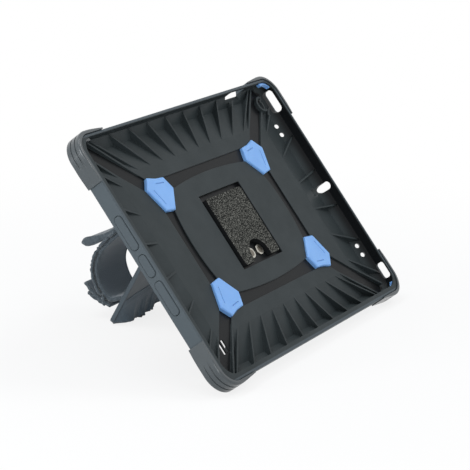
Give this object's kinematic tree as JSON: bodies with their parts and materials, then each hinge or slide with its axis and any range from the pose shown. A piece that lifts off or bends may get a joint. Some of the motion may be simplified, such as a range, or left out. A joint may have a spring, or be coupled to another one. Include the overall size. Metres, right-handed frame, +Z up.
{
  "type": "tablet case",
  "caption": "Rugged tray-shaped tablet back case, ribbed inside with blue rest pads, on a swivelling rear kickstand joined to a looped hand strap.",
  "frame": {"origin": "centre of the assembly's footprint box, on the surface that it stands on", "axes": "+Z up; -Y is the side that the open tray faces; +X is to the right for someone who looks into the tray. The case leans back 37.3 degrees."},
  "size_m": [0.2622, 0.1803, 0.1545],
  "materials": {
    "shell": "fine-textured moulded charcoal plastic",
    "bumper": "satin soft plastic",
    "blue": "soft silicone, satin",
    "foam": "open-cell foam, speckled",
    "nickel": "nickel-plated, slightly dulled",
    "steel": "ground pin",
    "kick": "smooth moulded plastic",
    "strap": "elastic strap with hook-and-loop faces"
  },
  "bodies": {
    "case": {"rear_shell": "shell", "swivel_hub": "shell", "foam_pad": "foam", "rivets": "nickel", "pad_tl": "blue", "pad_tr": "blue", "pad_br": "blue", "pad_bl": "blue", "corner_insert_tl": "bumper", "corner_insert_tr": "blue", "corner_insert_br": "blue", "corner_insert_bl": "blue", "bumper_tl": "bumper", "bumper_tr": "bumper", "bumper_br": "bumper", "bumper_bl": "bumper"},
    "swivel": {"swivel_base": "shell", "kickstand_pin": "steel", "strap_bar": "steel", "strap_band": "strap", "strap_tab": "strap"},
    "kickstand": {"kickstand": "kick", "strap_return": "strap", "strap_tail": "strap"},
    "button_upper": {"button_upper": "bumper"},
    "button_middle": {"button_middle": "bumper"},
    "button_lower": {"button_lower": "bumper"}
  },
  "joints": [
    {"name": "swivel_turn", "type": "hinge", "parent": "case", "child": "swivel", "pos_m": [0, -0.02161, 0.07136], "axis": [0, -0.7955, 0.606], "continuous": true},
    {"name": "kickstand_fold", "type": "hinge", "parent": "swivel", "child": "kickstand", "pos_m": [0, 0.00657, 0.09514], "axis": [-1, 0, 0], "range_deg": [0, 66]},
    {"name": "button_upper_press", "type": "slide", "parent": "case", "child": "button_upper", "axis": [1, 0, 0], "range_m": [0, 0.0006], "stiffness_N_per_m": 900},
    {"name": "button_middle_press", "type": "slide", "parent": "case", "child": "button_middle", "axis": [1, 0, 0], "range_m": [0, 0.0006], "stiffness_N_per_m": 900},
    {"name": "button_lower_press", "type": "slide", "parent": "case", "child": "button_lower", "axis": [1, 0, 0], "range_m": [0, 0.0006], "stiffness_N_per_m": 900}
  ]
}
